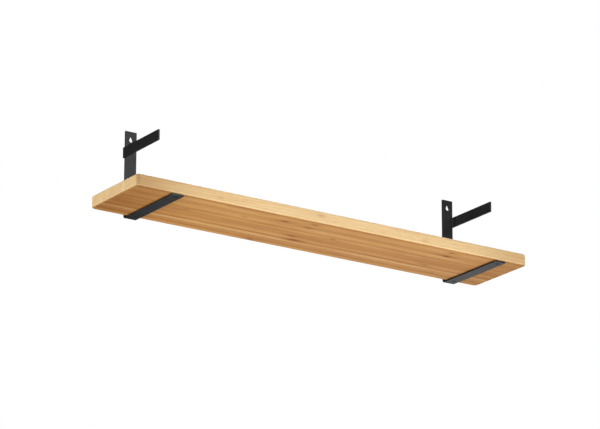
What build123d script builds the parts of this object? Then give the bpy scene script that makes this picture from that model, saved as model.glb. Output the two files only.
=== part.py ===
from build123d import *
import os

os.makedirs("parts", exist_ok=True)

# Wall shelf with brackets: an edge-glued pine board screwed to two bent flat bars, each with
# a short strip welded upright to the outer edge of its wall plate.
# X runs along the wall, +Y into the wall, +Z up. The wall's surface is Y = 0. The origin lies
# midway between the round parts of the two keyholes.

# Board
board_length = 900
board_depth = 170
board_thickness = 24
board_corner_radius = 9
board_edge_radius = 4
stave_names = ["board_stave_back", "board_stave_inner", "board_stave_outer", "board_stave_front"]

# Flat bar that both brackets are bent from
bar_width = 25
bar_thickness = 3.5
bar_edge_radius = 0.5
bar_corner_radius = 0.8
bend_inner_radius = 2

# Brackets
bracket_spacing = 746
plate_height = 175.5
board_back_gap = 8.3
board_centre_x = -12.5
arm_short_of_front = 2

# Keyholes
keyhole_below_top = 17.5
keyhole_head_radius = 4
keyhole_slot_width = 4.5
keyhole_slot_rise = 4.5
keyhole_rim_radius = 0.3

# Strip welded to the outer edge of each wall plate
side_arm_length = 129
side_arm_height = 21
side_arm_above_underside = 117
weld_leg = 3.5
weld_belly = 0.5
weld_short_of_edge = 1

# Countersunk wood screws, two through each bar into the board
screw_length = 20
screw_tip_length = 3
screw_shank_radius = 1.75
screw_head_radius = 3.4
screw_hole_radius = 2
countersink_radius = 4
screw_from_board_back = 14
screw_from_bar_end = 12
recess_length = 4
recess_width = 0.9
recess_depth = 1.4

# Heights and depths that follow from the sizes above
plate_top = keyhole_below_top
bar_underside = plate_top - plate_height
board_underside = bar_underside + bar_thickness
screw_face = bar_underside + countersink_radius - screw_head_radius
board_back = -board_back_gap
board_front = board_back - board_depth
bar_front = board_front + arm_short_of_front
stave_depth = board_depth / len(stave_names)
screw_depths = [board_back - screw_from_board_back, bar_front + screw_from_bar_end]


def keep(piece, name):
    """Label a finished piece and write its file."""
    piece.part.label = name
    export_step(piece.part, f"parts/{name}.step")


def side_of(hand):
    """The word for a bracket's side: hand is -1 for left and 1 for right."""
    return "left" if hand < 0 else "right"


# Screws: a flat head sunk just inside its 90 degree countersink, a plain shank and a pointed tip
def make_screw(x, y):
    with BuildPart() as screw:
        with BuildSketch(Plane.XZ.offset(-y)):
            with BuildLine():
                tip = (x, screw_face + screw_length)
                shoulder = (x + screw_shank_radius, screw_face + screw_length - screw_tip_length)
                neck = (x + screw_shank_radius, screw_face + screw_head_radius - screw_shank_radius)
                rim = (x + screw_head_radius, screw_face)
                Polyline((x, screw_face), rim, neck, shoulder, tip, close=True)
            make_face()
        revolve(axis=Axis((x, y, 0), (0, 0, 1)))
        with BuildSketch(Plane.XY.offset(screw_face)):
            with Locations((x, y)):
                Rectangle(recess_length, recess_width)
                Rectangle(recess_width, recess_length)
        extrude(amount=recess_depth, mode=Mode.SUBTRACT)
    return screw


screws = {}
for hand in (-1, 1):
    for place, screw_y in zip(("back", "front"), screw_depths):
        screw_name = f"screw_{side_of(hand)}_{place}"
        screws[screw_name] = make_screw(hand * bracket_spacing / 2, screw_y)
        keep(screws[screw_name], screw_name)


# Board blank: rounded in plan and along every top and bottom edge
with BuildPart() as board_blank:
    with BuildSketch(Plane.XY.offset(board_underside)):
        with Locations((board_centre_x, (board_back + board_front) / 2)):
            RectangleRounded(board_length, board_depth, board_corner_radius)
    extrude(amount=board_thickness)
    rims = board_blank.faces().filter_by(Axis.Z).edges()
    fillet(rims, radius=board_edge_radius)


# Staves: the blank cut into equal strips, with each screw's hole in the wood
for row, stave_name in enumerate(stave_names):
    stave_centre_y = board_back - (row + 0.5) * stave_depth
    with BuildPart() as stave:
        add(board_blank.part)
        with BuildSketch(Plane.XY.offset(board_underside)):
            with Locations((board_centre_x, stave_centre_y)):
                Rectangle(board_length, stave_depth)
        extrude(amount=board_thickness, mode=Mode.INTERSECT)
        for screw in screws.values():
            if abs(screw.part.center().Y - stave_centre_y) < stave_depth / 2:
                add(screw.part, mode=Mode.SUBTRACT)
    keep(stave, stave_name)


# Bracket bars: wall plate, bend and arm in one piece, with a keyhole and two screw holes
def make_bar(hand):
    x = hand * bracket_spacing / 2
    with BuildPart() as bar:
        with BuildSketch(Plane.YZ.offset(x - bar_width / 2)) as side_view:
            with Locations((0, plate_top)):
                Rectangle(bar_thickness, plate_height, align=(Align.MAX, Align.MAX))
            with Locations((0, bar_underside)):
                Rectangle(-bar_front, bar_thickness, align=(Align.MAX, Align.MIN))
            inner_corner = side_view.vertices().sort_by_distance((-bar_thickness, board_underside))[0]
            fillet(inner_corner, radius=bend_inner_radius)
            outer_corner = side_view.vertices().sort_by_distance((0, bar_underside))[0]
            fillet(outer_corner, radius=bend_inner_radius + bar_thickness)
        extrude(amount=bar_width)
        end_faces = [bar.faces().sort_by(Axis.Z)[-1], bar.faces().sort_by(Axis.Y)[0]]
        corners = [end.edges().filter_by(Axis.X, reverse=True) for end in end_faces]
        fillet(corners[0] + corners[1], radius=bar_corner_radius)
        flanks = bar.faces().filter_by(Axis.X).edges()
        fillet(flanks, radius=bar_edge_radius)
        with BuildSketch(Plane.XZ):
            with Locations((x, 0)):
                Circle(keyhole_head_radius)
            with Locations((x, keyhole_slot_rise)):
                Circle(keyhole_slot_width / 2)
            with Locations((x, keyhole_slot_rise / 2)):
                Rectangle(keyhole_slot_width, keyhole_slot_rise)
        extrude(amount=bar_thickness, mode=Mode.SUBTRACT)
        keyhole_rims = bar.edges(Select.LAST).filter_by(Axis.Y, reverse=True)
        fillet(keyhole_rims, radius=keyhole_rim_radius)
        underside = Plane((0, 0, bar_underside), x_dir=(1, 0, 0), z_dir=(0, 0, -1))
        with Locations(underside):
            with Locations(*[(x, -screw_y) for screw_y in screw_depths]):
                CounterSinkHole(screw_hole_radius, countersink_radius, bar_thickness, 90)
    return bar


# Side arms: a flat strip standing on edge, its back end against the wall plate's outer edge
def make_side_arm(hand):
    inner_x = hand * (bracket_spacing / 2 + bar_width / 2)
    base = board_underside + side_arm_above_underside
    with BuildPart() as arm:
        with BuildSketch(Plane.XY.offset(base)):
            with Locations((inner_x + hand * bar_thickness / 2, -side_arm_length / 2)):
                Rectangle(bar_thickness, side_arm_length)
        extrude(amount=side_arm_height)
        front_corners = arm.faces().sort_by(Axis.Y)[0].edges().filter_by(Axis.X)
        fillet(front_corners, radius=bar_corner_radius)
        outer_flank = arm.faces().filter_by(Axis.X).edges()
        fillet(outer_flank, radius=bar_edge_radius)
    return arm


# Weld beads: a fillet in the inner corner between the wall plate and the side arm
def make_weld(hand):
    corner_x = hand * (bracket_spacing / 2 + bar_width / 2)
    corner_y = -bar_thickness
    base = board_underside + side_arm_above_underside + weld_short_of_edge
    with BuildPart() as weld:
        with BuildSketch(Plane.XY.offset(base)):
            with BuildLine():
                on_plate = (corner_x - hand * weld_leg, corner_y)
                on_arm = (corner_x, corner_y - weld_leg)
                belly = weld_leg / 2 + weld_belly / 2 ** 0.5
                crown = (corner_x - hand * belly, corner_y - belly)
                Line((corner_x, corner_y), on_plate)
                ThreePointArc(on_plate, crown, on_arm)
                Line(on_arm, (corner_x, corner_y))
            make_face()
        extrude(amount=side_arm_height - 2 * weld_short_of_edge)
    return weld


for hand in (-1, 1):
    keep(make_bar(hand), f"bracket_bar_{side_of(hand)}")
    keep(make_side_arm(hand), f"side_arm_{side_of(hand)}")
    keep(make_weld(hand), f"arm_weld_{side_of(hand)}")
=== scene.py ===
import bpy
import math
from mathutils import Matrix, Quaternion, Vector


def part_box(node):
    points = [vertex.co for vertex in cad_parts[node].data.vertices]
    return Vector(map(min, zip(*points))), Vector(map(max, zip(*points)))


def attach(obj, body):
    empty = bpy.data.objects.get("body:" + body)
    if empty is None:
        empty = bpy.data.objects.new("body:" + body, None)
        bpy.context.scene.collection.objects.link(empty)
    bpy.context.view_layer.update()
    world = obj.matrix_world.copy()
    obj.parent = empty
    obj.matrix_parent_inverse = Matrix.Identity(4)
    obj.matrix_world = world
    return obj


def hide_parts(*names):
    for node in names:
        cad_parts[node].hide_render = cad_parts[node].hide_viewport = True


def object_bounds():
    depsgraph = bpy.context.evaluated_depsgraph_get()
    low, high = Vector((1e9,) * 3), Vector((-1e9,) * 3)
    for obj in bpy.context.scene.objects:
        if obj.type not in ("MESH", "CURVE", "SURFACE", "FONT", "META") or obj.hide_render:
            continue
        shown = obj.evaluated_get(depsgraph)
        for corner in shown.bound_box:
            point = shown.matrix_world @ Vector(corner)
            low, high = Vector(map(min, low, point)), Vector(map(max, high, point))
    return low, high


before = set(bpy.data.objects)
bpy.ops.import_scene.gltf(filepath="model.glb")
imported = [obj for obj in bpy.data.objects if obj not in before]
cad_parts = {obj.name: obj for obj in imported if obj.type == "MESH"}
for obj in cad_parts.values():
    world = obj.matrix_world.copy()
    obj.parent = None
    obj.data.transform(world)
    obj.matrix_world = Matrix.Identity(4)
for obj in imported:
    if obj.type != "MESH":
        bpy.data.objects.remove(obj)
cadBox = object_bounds()
print("shelf: frame loaded,", len(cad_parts), "nodes")

mm = 0.001
mergeGap = 0.004 * mm  # points closer than this become one


class Wire:  # one output socket of a node; + - * / ** and abs() on it add Math nodes
    def __init__(self, shader, socket):
        self.shader = shader
        self.socket = socket

    def op(self, operation, *others, clamp=False):
        inputs = dict(enumerate((self,) + others))
        return self.shader.node("Math", {"operation": operation, "use_clamp": clamp}, inputs)

    def back(self, operation, other):
        return self.shader.node("Math", {"operation": operation}, {0: other, 1: self})

    def __add__(self, other):
        return self.op("ADD", other)

    def __radd__(self, other):
        return self.op("ADD", other)

    def __sub__(self, other):
        return self.op("SUBTRACT", other)

    def __rsub__(self, other):
        return self.back("SUBTRACT", other)

    def __mul__(self, other):
        return self.op("MULTIPLY", other)

    def __rmul__(self, other):
        return self.op("MULTIPLY", other)

    def __truediv__(self, other):
        return self.op("DIVIDE", other)

    def __rtruediv__(self, other):
        return self.back("DIVIDE", other)

    def __pow__(self, other):
        return self.op("POWER", other)

    def __rpow__(self, other):
        return self.back("POWER", other)

    def __neg__(self):
        return self.op("MULTIPLY", -1.0)

    def __abs__(self):
        return self.op("ABSOLUTE")

    def clamped(self):
        return self.op("ADD", 0.0, clamp=True)

    def bell(self):  # 1 where this wire is 0, falling away on both sides
        return self.shader.node("Math", {"operation": "EXPONENT"}, {0: -(self * self)})

    def steps(self, low, high):  # 0 below low, 1 above high, smooth between them
        return self.shader.node("MapRange", {"interpolation_type": "SMOOTHSTEP"},
                                {"Value": self, "From Min": low, "From Max": high})


class Shader:
    def __init__(self, name):
        self.material = bpy.data.materials.new(name)
        self.material.use_nodes = True
        self.tree = self.material.node_tree
        self.tree.nodes.clear()

    def node(self, kind, settings=None, inputs=None, output=0):
        new = self.tree.nodes.new("ShaderNode" + kind)
        for key, value in (settings or {}).items():
            if key == "stops":
                ramp = new.color_ramp.elements
                while len(ramp) < len(value):
                    ramp.new(0.5)
                for stop, (place, tone) in zip(ramp, value):
                    stop.position = place
                    stop.color = colour(tone)
            else:
                setattr(new, key, value)
        for key, value in (inputs or {}).items():
            if isinstance(value, Wire):
                self.tree.links.new(value.socket, new.inputs[key])
            else:
                new.inputs[key].default_value = value
        return Wire(self, new.outputs[output]) if new.outputs else None

    def place(self):  # Object coordinates in millimetres, as three wires
        point = self.node("TexCoord", output="Object")
        return [self.node("SeparateXYZ", inputs={0: point}, output=axis) * (1 / mm) for axis in range(3)]

    def facing(self):  # the surface's own direction, as three wires
        normal = self.node("TexCoord", output="Normal")
        return [self.node("SeparateXYZ", inputs={0: normal}, output=axis) for axis in range(3)]

    def noise(self, wires, kind, shift=()):
        # kind: how fast it changes along each wire, per mm, its detail and its roughness
        # shift: what is added to each wire, so that no two pieces match
        speeds, detail, roughness = kind
        places = [wire * speed for wire, speed in zip(wires, speeds)]
        for axis, move in enumerate(shift):
            if move:
                places[axis] += move
        point = self.node("CombineXYZ", inputs=dict(enumerate(places)))
        inputs = {"Vector": point, "Scale": 1.0, "Detail": detail, "Roughness": roughness}
        return self.node("TexNoise", inputs=inputs)

    def mix(self, share, first, second, blend="MIX"):  # sockets 6 and 7 and output 2 are for colours
        settings = {"data_type": "RGBA", "blend_type": blend, "clamp_factor": True}
        return self.node("Mix", settings, {0: share, 6: colour(first), 7: colour(second)}, output=2)

    def finish(self, **inputs):
        named = {key.replace("_", " "): colour(value) for key, value in inputs.items()}
        surface = self.node("BsdfPrincipled", inputs=named)
        self.node("OutputMaterial", inputs={"Surface": surface})
        return self.material


def colour(value):
    # three 0-255 display numbers become the linear colour that a socket takes; the rest passes through
    if not isinstance(value, tuple) or len(value) != 3:
        return value
    linear = [c / 255 / 12.92 if c < 10.3 else ((c / 255 + 0.055) / 1.055) ** 2.4 for c in value]
    return (*linear, 1.0)


def strongest(wires):
    top = wires[0]
    for wire in wires[1:]:
        top = top.op("MAXIMUM", wire)
    return top


def total(wires):
    return sum(wires[1:], wires[0])


# Pine board: four glued staves, each with rings round a pith of its own
pine = {
    "deep": (146, 88, 40),
    "late": (196, 135, 71),
    "early": (215, 159, 91),
    "pale": (234, 196, 142),
    "stops": (0.0, 0.34, 0.62, 1.0),   # where those four stand between dark and light
    "middleTone": 0.50,
    "duct": (140, 92, 48),
    "ductShare": 0.35,
    "ductLimits": (0.70, 0.76),   # noise below the first is no resin duct, above the second is one
    "glue": (128, 90, 52),
    "glueShare": 0.45,
    "glueHalfWidth": 0.16,        # mm
    "ringContrast": 0.08,
    "ringUneven": 2.4,
    "ringStrength": (0.8, 0.3),   # how much the rings differ, and the faintest one
    "ringRise": (0.20, 0.86),     # the late wood darkens slowly over this part of a ring
    "ringFall": (0.88, 1.0),      # and ends sharply over this part
    "fibreContrast": 0.46,
    "hairContrast": 0.22,
    "blotchContrast": 0.48,
    "streakStrength": (1.3, 0.35),  # how much a streak comes and goes, and its least strength
    "wander": 9.0,                # how far the grain drifts sideways, mm
    "roughness": 0.52,
    "specular": 0.15,
    "bumpStrength": 0.30,
    "bumpHeight": 0.12,           # mm
}
grain = {
    # speed of change per mm, detail, roughness
    "drift": ((0.0032, 0.012, 0.012), 2.0, 0.5),
    "lift": ((0.0028, 0.012, 0.012), 1.0, 0.5),
    "knotEdge": ((0.35, 0.9), 1.0, 0.5),
    "ringUneven": ((0.09, 0.0015), 1.0, 0.5),
    "ringStrength": ((0.31, 0.002), 1.0, 0.5),
    "fibre": ((0.008, 0.30, 0.30), 5.0, 0.6),
    "hair": ((0.035, 3.0, 3.0), 3.0, 0.6),
    "duct": ((0.06, 2.1, 2.1), 0.0, 0.5),
    "blotch": ((0.007, 0.035, 0.05), 3.0, 0.6),
    "streak": ((0.0050, 0.02), 1.0, 0.5),
}
knot = {
    "heart": (112, 64, 30),
    "heartShare": 0.75,
    "heartEdge": (0.25, 1.0),   # the heart fades between these, in knot radii
    "bark": (150, 90, 44),      # ring of darker wood round the heart
    "barkShare": 0.50,
    "barkAt": 1.05,             # in knot radii, as the next four are
    "barkWidth": 0.40,
    "pushReach": 2.2,           # how far out the grain bends round the knot
    "haloLength": 7.0,
    "haloWidth": 1.8,
    "haloContrast": 0.30,
    "push": 0.7,
    "drawnOut": 0.48,           # below 1, a knot is longer than it is wide
    "sideDepth": 26.0,          # how deep a knot in the front edge goes, mm
}
sandedAndSheen = {
    "wood": (241, 220, 173),    # the paler wood of the sawn and sanded edges, partly a painted sheen
    "grain": (232, 198, 143),
    "sideShare": 0.66,
    "endShare": 0.64,
    "easedAndHighlightShare": 0.30,         # how much paler the rounded edges are, partly a painted highlight
    "easedAt": (0.55, 0.26),    # slope of the rounding's middle, and how far the pale part spreads
    "sideSlopes": (0.35, 0.95),  # below the first slope a face is a side, above the second it lies flat
    "endSlopes": (0.80, 0.97),   # below the first slope a face is no end, above the second it is one
    "patchy": (0.4, 0.80),      # how much the blotches add, and the least share
}
endDarkening = {
    "tint": (203, 188, 174),    # multiply colour that makes the wood darker and more orange near both ends
    "left": 0.80,
    "right": 0.55,
    "reach": 105.0,             # how far in from an end it fades away, mm
    "endGrainFree": 0.9,        # the end faces themselves stay nearly clear of it
}

# streaks: place across the stave, half width, strength (dark is negative)
# knots: the way the branch ran, place along the board, place across the stave, radius, darkness
staves = {
    "board_stave_back": {
        "seed": 3.1, "pith": (16.0, -46.0), "ring": 3.4, "taper": 0.010, "tone": -0.03,
        "streaks": [(1.5, 4.0, -0.20), (-19.0, 2.6, 0.40), (12.0, 5.0, 0.10)],
        "knots": [("z", -99.0, 10.5, 3.0, 0.8), ("z", 322.0, -3.0, 1.8, 0.5)],
    },
    "board_stave_inner": {
        "seed": 11.7, "pith": (-30.0, 38.0), "ring": 4.6, "taper": -0.008, "tone": -0.02,
        "streaks": [(20.4, 2.2, 0.38), (11.5, 2.4, -0.26), (2.6, 3.0, 0.14), (-13.0, 8.0, -0.12)],
        "knots": [("z", -27.0, 11.0, 3.6, 0.8), ("z", -45.0, -8.5, 3.2, 0.8), ("z", 278.0, 2.0, 2.8, 0.6)],
    },
    "board_stave_outer": {
        "seed": 23.9, "pith": (12.0, 60.0), "ring": 5.2, "taper": 0.012, "tone": 0.00,
        "streaks": [(16.0, 6.0, -0.10), (7.0, 2.5, 0.14), (-1.0, 1.8, -0.20), (-14.0, 7.0, 0.16)],
        "knots": [("z", 34.0, 9.0, 2.4, 0.6), ("z", -183.0, -15.0, 2.0, 0.5), ("z", -298.0, 6.0, 2.2, 0.5)],
    },
    "board_stave_front": {
        "seed": 37.3, "pith": (-14.0, -70.0), "ring": 4.2, "taper": -0.011, "tone": 0.03,
        "streaks": [(12.0, 2.4, -0.10), (-4.0, 6.0, 0.14), (-16.0, 3.0, -0.20)],
        "knots": [("z", -45.0, 19.0, 3.0, 0.9), ("z", -105.0, 9.0, 3.2, 0.9),
                  ("z", 281.0, 18.8, 4.0, 1.2), ("z", 278.0, -4.5, 2.8, 0.8),
                  ("z", -45.0, -4.5, 2.8, 0.8), ("y", -268.0, -4.0, 2.6, 0.22),
                  ("y", -42.0, 2.6, 3.2, 0.30), ("y", 202.0, -3.4, 3.0, 0.26)],
    },
}


def makePine(name, stave):
    s = Shader("oiled_" + name)
    x, y, z = s.place()
    low, high = [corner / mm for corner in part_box(name)]
    middle = (low + high) / 2
    along = x - (cadBox[0].x + cadBox[1].x) / 2 / mm
    seed = stave["seed"]

    # the grain drifts slowly as it runs along the stave
    drift = s.noise((along, y, z), grain["drift"], (seed,)) - 0.5
    lift = s.noise((along, y, z), grain["lift"], (seed * 2, 7.0)) - 0.5
    across = y - middle.y + drift * pine["wander"]
    height = z - middle.z + lift * pine["wander"]

    # knots push the grain aside; each has a dark heart, a ring of bark and a long stained halo
    hearts = []
    barks = []
    halos = []
    for axis, knotX, knotSide, radius, darkness in stave["knots"]:
        lengthwise = along - knotX
        sideways = y - middle.y - knotSide if axis == "z" else z - middle.z - knotSide
        gap = ((lengthwise * knot["drawnOut"]) ** 2.0 + sideways ** 2.0) ** 0.5 / radius
        reach = ((y - low.y) / knot["sideDepth"]).bell() if axis == "y" else 1.0
        push = (gap / knot["pushReach"]).bell() * sideways * knot["push"] * reach
        if axis == "z":
            across = across - push
        else:
            height = height - push
        edge = gap + s.noise((lengthwise, sideways), grain["knotEdge"], (0, seed)) * 0.5 - 0.25
        haloLength = lengthwise / (radius * knot["haloLength"])
        haloWidth = sideways / (radius * knot["haloWidth"])
        weight = reach * darkness
        hearts.append((1.0 - edge.steps(*knot["heartEdge"])) * weight)
        barks.append(((edge - knot["barkAt"]) / knot["barkWidth"]).bell() * weight)
        halos.append(haloLength.bell() * haloWidth.bell() * weight)
    heart = strongest(hearts)
    bark = strongest(barks)
    halo = strongest(halos)

    # growth rings about the pith: slow light wood, then a thin darker line
    pithY, pithZ = stave["pith"]
    distance = ((across - pithY) ** 2.0 + (height - pithZ) ** 2.0) ** 0.5
    uneven = s.noise((distance, along), grain["ringUneven"], (seed,)) * pine["ringUneven"]
    phase = (distance + along * stave["taper"]) / stave["ring"] + uneven
    ring = phase.op("FRACT")
    strength = s.noise((phase, along), grain["ringStrength"], (seed,)).steps(0.30, 0.70)
    late = ring.steps(*pine["ringRise"]) * (1.0 - ring.steps(*pine["ringFall"]))
    swing, least = pine["ringStrength"]
    late = late * (strength * swing + least)

    # fibres, fine hairs and resin ducts are all drawn out along the length
    grown = (along, across, height)
    fibre = s.noise(grown, grain["fibre"], (seed,))
    hair = s.noise(grown, grain["hair"], (0, seed))
    duct = s.noise(grown, grain["duct"], (seed,)).steps(*pine["ductLimits"])
    blotch = s.noise(grown, grain["blotch"], (seed,))

    swing, least = pine["streakStrength"]
    bands = []
    for place, width, depth in stave["streaks"]:
        broken = s.noise((along, across), grain["streak"], (seed + place,)) * swing + least
        bands.append(((across - place) / width).bell() * broken * depth)

    tone = total(bands) + (pine["middleTone"] + stave["tone"])
    tone = tone + (fibre - 0.5) * pine["fibreContrast"] + (hair - 0.5) * pine["hairContrast"]
    tone = tone + (blotch - 0.5) * pine["blotchContrast"] - late * pine["ringContrast"]
    tone = tone - halo * knot["haloContrast"]
    stops = list(zip(pine["stops"], (pine["deep"], pine["late"], pine["early"], pine["pale"])))
    shade = s.node("ValToRGB", {"stops": stops}, {"Fac": tone.clamped()})

    # sanded edges: paler on the sides and the ends, palest on the rounded edge between two faces; this
    # paleness by face direction is partly sanded wood and partly a painted sheen, and on the rounded edge
    # partly a painted highlight
    faceX, _, faceZ = s.facing()
    side = 1.0 - abs(faceZ).steps(*sandedAndSheen["sideSlopes"])
    end = abs(faceX).steps(*sandedAndSheen["endSlopes"])
    easedMiddle, easedSpread = sandedAndSheen["easedAt"]
    easedAndHighlight = ((abs(faceZ) - easedMiddle) / easedSpread).bell()
    palerAndSheen = side * sandedAndSheen["sideShare"] + end * (sandedAndSheen["endShare"] - sandedAndSheen["sideShare"])
    palerAndSheen = palerAndSheen + easedAndHighlight * sandedAndSheen["easedAndHighlightShare"]
    lines = (late * 0.5 + (0.62 - fibre).steps(0.0, 0.30) * 0.6).clamped()
    swing, least = sandedAndSheen["patchy"]
    palerAndSheen = palerAndSheen * (least + blotch * swing)
    shade = s.mix(palerAndSheen, shade, s.mix(lines, sandedAndSheen["wood"], sandedAndSheen["grain"]))

    # darker and more orange wood near both ends, more at the left end than at the right
    half = (cadBox[1].x - cadBox[0].x) / 2 / mm
    endDarkShare = ((half + along) / endDarkening["reach"]).bell() * endDarkening["left"]
    endDarkShare = endDarkShare + ((half - along) / endDarkening["reach"]).bell() * endDarkening["right"]
    endDarkShare = endDarkShare * (1.0 - end * endDarkening["endGrainFree"])
    shade = s.mix(endDarkShare, shade, s.mix(1.0, shade, endDarkening["tint"], "MULTIPLY"))

    shade = s.mix(bark * knot["barkShare"], shade, knot["bark"])
    shade = s.mix(heart * knot["heartShare"], shade, knot["heart"])
    shade = s.mix(duct * pine["ductShare"], shade, pine["duct"])

    # a hairline of glue along each seam between two staves
    seams = []
    if name != "board_stave_back":
        seams.append(((y - high.y) / pine["glueHalfWidth"]).bell())
    if name != "board_stave_front":
        seams.append(((y - low.y) / pine["glueHalfWidth"]).bell())
    seam = total(seams)
    shade = s.mix(seam * pine["glueShare"], shade, pine["glue"])

    relief = fibre * 0.5 + hair * 0.35 - late * 0.25 - duct * 0.5 - bark * 0.6 - seam * 0.4
    roughness = pine["roughness"] + (hair - 0.5) * 0.16 - late * 0.05 + end * 0.14 + (blotch - 0.5) * 0.10
    bumpInputs = {"Strength": pine["bumpStrength"], "Distance": pine["bumpHeight"] * mm, "Height": relief}
    bump = s.node("Bump", inputs=bumpInputs)
    return s.finish(Base_Color=shade, Roughness=roughness, Normal=bump, Specular_IOR_Level=pine["specular"])


for name, stave in staves.items():
    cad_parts[name].material_slots[0].material = makePine(name, stave)
print("shelf: pine on", len(staves), "staves")


# Black powder coat on the steel
steel = {
    "black": (19, 19, 20),
    "bluish": (25, 30, 37),     # bluish cloudy patches on the bars, a painted bluish reflection
    "even": (21, 21, 22),       # nearly neutral cloudy patches on the other pieces
    "worn": (60, 61, 63),       # thin coat along the edges, and single specks
    "speckShare": 0.30,
    "wearShare": 0.25,
    "wearWidth": 0.35,          # how far the wear reaches in from an edge, mm
    "wearInset": 0.3,           # and how far in its middle lies, mm
    "slender": 40.0,            # the piece is narrow along an axis if half its size is below this, mm
    "flankShade": (9, 9, 10),   # painted shade on the bars' narrow flanks, nearly black
    "flankShadeShare": 0.9,
    "flankShadeSlopes": (0.30, 0.80),
    "roughness": 0.42,
    "peelStrength": 0.5,
    "bumpHeight": 0.05,         # mm
}
coat = {
    # speed of change per mm, detail, roughness
    "peel": ((1 / 0.9,) * 3, 2.0, 0.55),    # orange peel, 0.9 mm
    "grit": ((1 / 0.16,) * 3, 1.0, 0.5),    # fine grit, 0.16 mm
    "cloud": ((0.045, 0.03, 0.03), 4.0, 0.62),
    "speck": ((1.7,) * 3, 0.0, 0.5),
    "worn": ((0.12,) * 3, 3.0, 0.65),
}


def makeCoat(name, seed, roughness, peelStrength, edgeBox=None, flankShadeShare=0.0):
    s = Shader(name)
    point = s.place()
    peel = s.noise(point, coat["peel"], (seed,))
    grit = s.noise(point, coat["grit"], (0, seed))
    cloud = s.noise(point, coat["cloud"], (seed,))
    speck = s.noise(point, coat["speck"], (0, seed)).steps(0.74, 0.82)
    # on the bars the cloudy patches are bluish, a painted reflection
    cloudTint = steel["bluish"] if flankShadeShare else steel["even"]
    shade = s.mix(cloud.steps(0.40, 0.65), steel["black"], cloudTint)
    shade = s.mix(speck * steel["speckShare"], shade, steel["worn"])
    dull = roughness + (cloud - 0.5) * 0.16 + (grit - 0.5) * 0.08
    if edgeBox:
        # wear shows in broken lines along the long edges of the piece
        low, high = [corner / mm for corner in edgeBox]
        middle = (low + high) / 2
        half = (high - low) / 2
        gaps = [abs(point[axis] - middle[axis]) - (half[axis] - steel["wearInset"])
                for axis in range(3) if half[axis] < steel["slender"]]
        wear = total([(gap / steel["wearWidth"]).bell() for gap in gaps])
        patchy = s.noise(point, coat["worn"], (seed,)).steps(0.44, 0.66)
        wear = (wear * patchy).clamped()
        shade = s.mix(wear * steel["wearShare"], shade, steel["worn"])
        dull = dull - wear * 0.10
    if flankShadeShare:
        # painted shade: the bars' narrow flanks, which face sideways, are made darker
        flankShadeMask = abs(s.facing()[0]).steps(*steel["flankShadeSlopes"])
        shade = s.mix(flankShadeMask * flankShadeShare, shade, steel["flankShade"])
    relief = peel + grit * 0.25
    bumpInputs = {"Strength": peelStrength, "Distance": steel["bumpHeight"] * mm, "Height": relief}
    bump = s.node("Bump", inputs=bumpInputs)
    return s.finish(Base_Color=shade, Roughness=dull, Normal=bump, IOR=1.5)


for number, name in enumerate(("bracket_bar_left", "bracket_bar_right", "side_arm_left", "side_arm_right")):
    flankShadeShare = steel["flankShadeShare"] if "bar" in name else 0.0
    powder = makeCoat("powder_coat_" + name, 4.0 + number * 3.7, steel["roughness"], steel["peelStrength"],
                      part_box(name), flankShadeShare)
    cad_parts[name].material_slots[0].material = powder
print("shelf: powder coat on the steel")


def startEdit():
    bpy.ops.object.mode_set(mode="EDIT")
    bpy.ops.mesh.select_all(action="SELECT")


def endEdit():
    bpy.ops.object.mode_set(mode="OBJECT")


def freshStart():
    bpy.ops.object.select_all(action="DESELECT")


def applyModifiers(piece):
    for modifier in list(piece.modifiers):
        bpy.ops.object.modifier_apply(modifier=modifier.name)


def settle(piece, angle):
    # object to the origin with its place in its mesh, normals outwards, smooth below the angle
    bpy.ops.object.transform_apply(location=True, rotation=True, scale=True)
    startEdit()
    bpy.ops.mesh.remove_doubles(threshold=mergeGap)
    bpy.ops.mesh.normals_make_consistent(inside=False)
    endEdit()
    bpy.ops.object.shade_smooth_by_angle(angle=math.radians(angle))


# Weld beads: a rippled roll laid in the inner corner of wall plate and side arm
bead = {
    "ripples": 13,
    "sides": 28,
    "rootDepth": 0.9,        # the roll's middle lies this deep behind both surfaces, mm
    "radius": 3.45,
    "profile": ((0.30, 1.03), (0.40, 1.02485), (0.30, 0.955)),  # a ripple: share of its length, size
    "uneven": (0.0, 0.018, -0.012, 0.008, -0.02),  # how the ripples differ, in turn
    "outerRipple": 0.80,     # size of the first and the last ripple
    "endSize": 0.45,
    "smoothBelow": 50,       # degrees
    "seed": 9.0,
    "roughness": 0.46,
    "peelStrength": 0.8,
}


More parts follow.
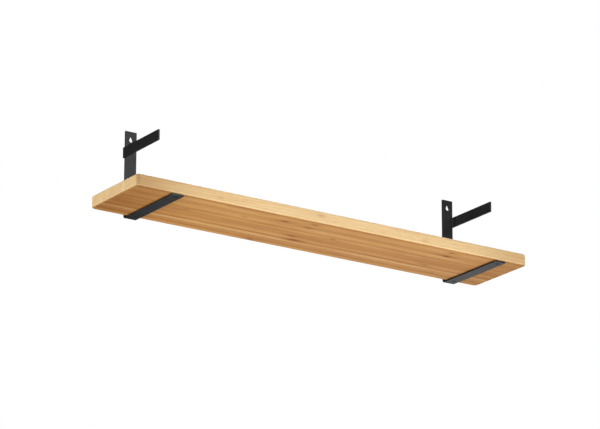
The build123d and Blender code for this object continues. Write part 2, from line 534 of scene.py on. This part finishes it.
def makeBead(name, armName):
    low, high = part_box(name)
    hand = -1 if armName.endswith("left") else 1
    cornerX = high.x if hand > 0 else low.x
    cornerY = high.y
    rollX = cornerX + hand * bead["rootDepth"] * mm
    rollY = cornerY + bead["rootDepth"] * mm
    pitch = (high.z - low.z) / bead["ripples"]
    freshStart()
    bpy.ops.mesh.primitive_circle_add(vertices=bead["sides"], radius=bead["radius"] * bead["endSize"] * mm,
                                      fill_type="NGON", location=(rollX, rollY, low.z))
    piece = bpy.context.object
    piece.name = name + "_bead"
    startEdit()
    size = bead["endSize"]
    steps = []
    for ripple in range(bead["ripples"]):
        fromEnd = min(ripple, bead["ripples"] - 1 - ripple)
        fade = min(1.0, bead["outerRipple"] + (1.0 - bead["outerRipple"]) * fromEnd)
        fade += bead["uneven"][ripple % len(bead["uneven"])]
        steps += [(share, wanted * fade) for share, wanted in bead["profile"]]
    steps[-1] = (steps[-1][0], bead["endSize"])
    for share, wanted in steps:
        bpy.ops.mesh.extrude_region_move(TRANSFORM_OT_translate={"value": (0, 0, pitch * share)})
        bpy.ops.transform.resize(value=(wanted / size, wanted / size, 1))
        size = wanted
    endEdit()
    smooth = piece.modifiers.new("smooth", "SUBSURF")
    smooth.levels = 1
    smooth.render_levels = 1
    applyModifiers(piece)
    # cut the roll off at the wall plate's face and at the side arm's face
    startEdit()
    for outward in ((0, 1, 0), (hand, 0, 0)):
        bpy.ops.mesh.select_all(action="SELECT")
        bpy.ops.mesh.bisect(plane_co=(cornerX, cornerY, low.z), plane_no=outward,
                            use_fill=True, clear_outer=True)
    endEdit()
    settle(piece, bead["smoothBelow"])
    piece.data.materials.append(weldCoat)
    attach(piece, "root")
    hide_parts(name)


weldCoat = makeCoat("powder_coat_on_weld", bead["seed"], bead["roughness"], bead["peelStrength"])
for side in ("left", "right"):
    makeBead("arm_weld_" + side, "side_arm_" + side)
print("shelf: weld beads laid")


# Countersunk wood screws with a cross recess and a cut thread
screw = {
    "sides": 48,
    "rimHeight": 0.25,        # short straight rim at the head's edge, mm
    "coreRadius": 1.15,
    "tipLength": 3.4,
    "tipRadius": 0.06,
    "threadRadius": 1.74,
    "threadPitch": 1.6,
    "threadStart": 4.0,       # from the head's face
    "threadSteps": 20,        # in one turn
    "threadRoot": 0.15,       # how far the thread's root reaches into the core
    "threadFlank": 1.05,      # height of the thread's section over an even triangle's
    "recessLength": 4.2,
    "recessWidth": 1.0,
    "recessDepth": 1.7,
    "recessTaper": (0.42, 0.55),
    "smoothBelow": 35,        # degrees
    "seed": 15.0,
    "roughness": 0.62,
    "peelStrength": 0.3,
}
screwTurns = {                # how far each one is screwed round, degrees
    "screw_left_back": 20,
    "screw_left_front": 64,
    "screw_right_back": 41,
    "screw_right_front": 78,
}


def makeScrew(headRadius, length):
    # turned body with its head's face at the origin: rim, cone, neck, core and point
    neck = headRadius - screw["coreRadius"] + screw["rimHeight"]
    rings = [(screw["rimHeight"], headRadius), (neck, screw["coreRadius"]),
             (length - screw["tipLength"], screw["coreRadius"]), (length, screw["tipRadius"])]
    freshStart()
    bpy.ops.mesh.primitive_circle_add(vertices=screw["sides"], radius=headRadius * mm, fill_type="NGON")
    piece = bpy.context.object
    startEdit()
    height, radius = 0.0, headRadius
    for ringHeight, ringRadius in rings:
        rise = (0, 0, (ringHeight - height) * mm)
        bpy.ops.mesh.extrude_region_move(TRANSFORM_OT_translate={"value": rise})
        bpy.ops.transform.resize(value=(ringRadius / radius, ringRadius / radius, 1))
        height, radius = ringHeight, ringRadius
    endEdit()

    # cross recess: two tapered blades cut out of the head
    blades = []
    bladeSize = Vector((screw["recessLength"], screw["recessWidth"], screw["recessDepth"] * 2)) * mm
    for angle in (0, 90):
        freshStart()
        bpy.ops.mesh.primitive_cube_add(size=1)
        blade = bpy.context.object
        blade.dimensions = bladeSize
        bpy.ops.object.transform_apply(location=False, rotation=False, scale=True)
        startEdit()
        bpy.ops.mesh.select_all(action="DESELECT")
        endEdit()
        for polygon in blade.data.polygons:
            polygon.select = polygon.normal.z > 0.5
        bpy.ops.object.mode_set(mode="EDIT")
        bpy.ops.transform.resize(value=(*screw["recessTaper"], 1))
        endEdit()
        blade.rotation_euler.z = math.radians(angle)
        blades.append(blade)
    for blade in blades:
        cut = piece.modifiers.new("recess", "BOOLEAN")
        cut.operation = "DIFFERENCE"
        cut.solver = "EXACT"
        cut.object = blade
    bpy.context.view_layer.objects.active = piece
    applyModifiers(piece)
    for blade in blades:
        bpy.data.objects.remove(blade)

    # thread: a small three-sided ridge swept up the core; an even triangle is 1.5 of its radii high
    ridgeSize = (screw["threadRadius"] - screw["coreRadius"] + screw["threadRoot"]) / 1.5
    turnsOfThread = (length - screw["tipLength"] - screw["threadStart"]) / screw["threadPitch"]
    ridgePlace = Vector((screw["threadRadius"] - ridgeSize, 0, screw["threadStart"])) * mm
    freshStart()
    bpy.ops.mesh.primitive_circle_add(vertices=3, radius=ridgeSize * mm, location=ridgePlace,
                                      rotation=(math.radians(90), math.radians(90), 0))
    ridge = bpy.context.object
    bpy.ops.object.transform_apply(location=True, rotation=True, scale=True)
    startEdit()
    bpy.ops.transform.resize(value=(1, 1, screw["threadFlank"]))
    endEdit()
    sweep = ridge.modifiers.new("sweep", "SCREW")
    sweep.axis = "Z"
    sweep.screw_offset = screw["threadPitch"] * mm
    sweep.iterations = round(turnsOfThread)
    sweep.steps = screw["threadSteps"]
    sweep.render_steps = screw["threadSteps"]
    applyModifiers(ridge)
    startEdit()
    bpy.ops.mesh.fill_holes(sides=3)
    endEdit()

    freshStart()
    ridge.select_set(True)
    piece.select_set(True)
    bpy.context.view_layer.objects.active = piece
    bpy.ops.object.join()
    settle(piece, screw["smoothBelow"])
    piece.data.materials.clear()
    piece.data.materials.append(screwBlack)
    return piece


screwBlack = makeCoat("phosphated_screw", screw["seed"], screw["roughness"], screw["peelStrength"])
low, high = [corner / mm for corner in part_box("screw_left_back")]
modelScrew = makeScrew((high.x - low.x) / 2, high.z - low.z)
for name, turn in screwTurns.items():
    low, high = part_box(name)
    freshStart()
    modelScrew.select_set(True)
    bpy.context.view_layer.objects.active = modelScrew
    bpy.ops.object.duplicate()
    piece = bpy.context.object
    piece.name = name + "_steel"
    piece.rotation_euler.z = math.radians(turn)
    piece.location = ((low.x + high.x) / 2, (low.y + high.y) / 2, low.z)
    bpy.ops.object.transform_apply(location=True, rotation=True, scale=True)
    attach(piece, "root")
    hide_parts(name)
bpy.data.objects.remove(modelScrew)
print("shelf: screws turned")


# Studio: pale floor, soft boxes all round, camera below the shelf and to its left
studio = {
    "floorDrop": 3.60,  # below the shelf's lowest point, m
    "floorSize": 5.0,   # m
    "floorColour": (226, 225, 222),
    "roomLight": 0.015,
    "backdrop": 1.0,
}
lights = {
    # bearing and height in degrees, distance, width and height in metres, power in watts
    "leftBox": (-110, -14, 3.4, 1.6, 1.4, 84.0),
    "front": (3, 8, 3.2, 1.8, 1.6, 56.5),
    "frontSheen": (27, 18, 3.2, 1.8, 1.6, 4.5),
    "corner": (-50, 25, 3.2, 1.6, 1.4, 24.0),
    "lowFront": (-20, -50, 2.9, 2.0, 1.4, 22.0),
    "lowRight": (50, -42, 4.4, 1.8, 1.4, 91.0),
    "lowBack": (140, -18, 2.25, 1.1, 0.5, 2.3),
    "topBack": (145, 56, 3.0, 2.8, 2.0, 105.0),
    "rightBox": (102, 14, 3.4, 1.6, 1.4, 42.0),
    "backBox": (165, 10, 3.4, 2.2, 1.6, 34.0),
}
cameraView = {
    "azimuth": -33.81,
    "elevation": -18.01,
    "roll": 0.08,
    "distance": 6.4399,
    "lens": 199.58,
    "farthest": 100.0,         # how far the camera sees, m
    "aimFromMiddle": (0.0, 0.00885, -0.00325),
    "slide": (-0.02066, -0.02829),
}

shelfMiddle = (cadBox[0] + cadBox[1]) / 2


def towards(bearing, height):
    # unit vector; bearing 0 is straight out from the wall, positive to the right
    turn, rise = math.radians(bearing), math.radians(height)
    return Vector((math.sin(turn) * math.cos(rise), -math.cos(turn) * math.cos(rise), math.sin(rise)))


freshStart()
floorHeight = cadBox[0].z - studio["floorDrop"]
bpy.ops.mesh.primitive_plane_add(size=studio["floorSize"], location=(0, 0, floorHeight))
floor = bpy.context.object
floor.name = "studio_floor"
floorPaint = Shader("studio_floor")
floor.data.materials.append(floorPaint.finish(Base_Color=studio["floorColour"], Roughness=0.8))
floor.visible_camera = False  # it throws light back but never hides the shelf from below

for name, (bearing, height, distance, width, tall, power) in lights.items():
    away = towards(bearing, height)
    bpy.ops.object.light_add(type="AREA", location=shelfMiddle + away * distance)
    box = bpy.context.object
    box.name = name
    box.data.shape = "RECTANGLE"
    box.data.size = width
    box.data.size_y = tall
    box.data.energy = power
    box.rotation_euler = (-away).to_track_quat("-Z", "Y").to_euler()
    box.visible_camera = False

# the camera sees a white backdrop, and the shelf gets only a little light from the room
world = bpy.data.worlds.new("studio")
bpy.context.scene.world = world
world.use_nodes = True
worldNodes = world.node_tree.nodes
worldLinks = world.node_tree.links
worldNodes.clear()
rays = worldNodes.new("ShaderNodeLightPath")
either = worldNodes.new("ShaderNodeMixShader")
worldOut = worldNodes.new("ShaderNodeOutputWorld")
worldLinks.new(rays.outputs["Is Camera Ray"], either.inputs[0])
for socket, strength in ((1, studio["roomLight"]), (2, studio["backdrop"])):
    glow = worldNodes.new("ShaderNodeBackground")
    glow.inputs["Color"].default_value = (1, 1, 1, 1)
    glow.inputs["Strength"].default_value = strength
    worldLinks.new(glow.outputs[0], either.inputs[socket])
worldLinks.new(either.outputs[0], worldOut.inputs[0])

back = towards(cameraView["azimuth"], cameraView["elevation"])
right = (-back).cross(Vector((0, 0, 1))).normalized()
up = right.cross(-back)
slideRight, slideUp = cameraView["slide"]
aim = shelfMiddle + Vector(cameraView["aimFromMiddle"])
bpy.ops.object.camera_add(location=aim + back * cameraView["distance"] + right * slideRight + up * slideUp)
camera = bpy.context.object
camera.data.lens = cameraView["lens"]
camera.data.clip_end = cameraView["farthest"]
camera.rotation_mode = "QUATERNION"
level = (-back).to_track_quat("-Z", "Y")
camera.rotation_quaternion = level @ Quaternion((0, 0, 1), math.radians(cameraView["roll"]))
bpy.context.scene.camera = camera
bpy.context.scene.view_settings.view_transform = "Standard"
print("shelf: studio ready")
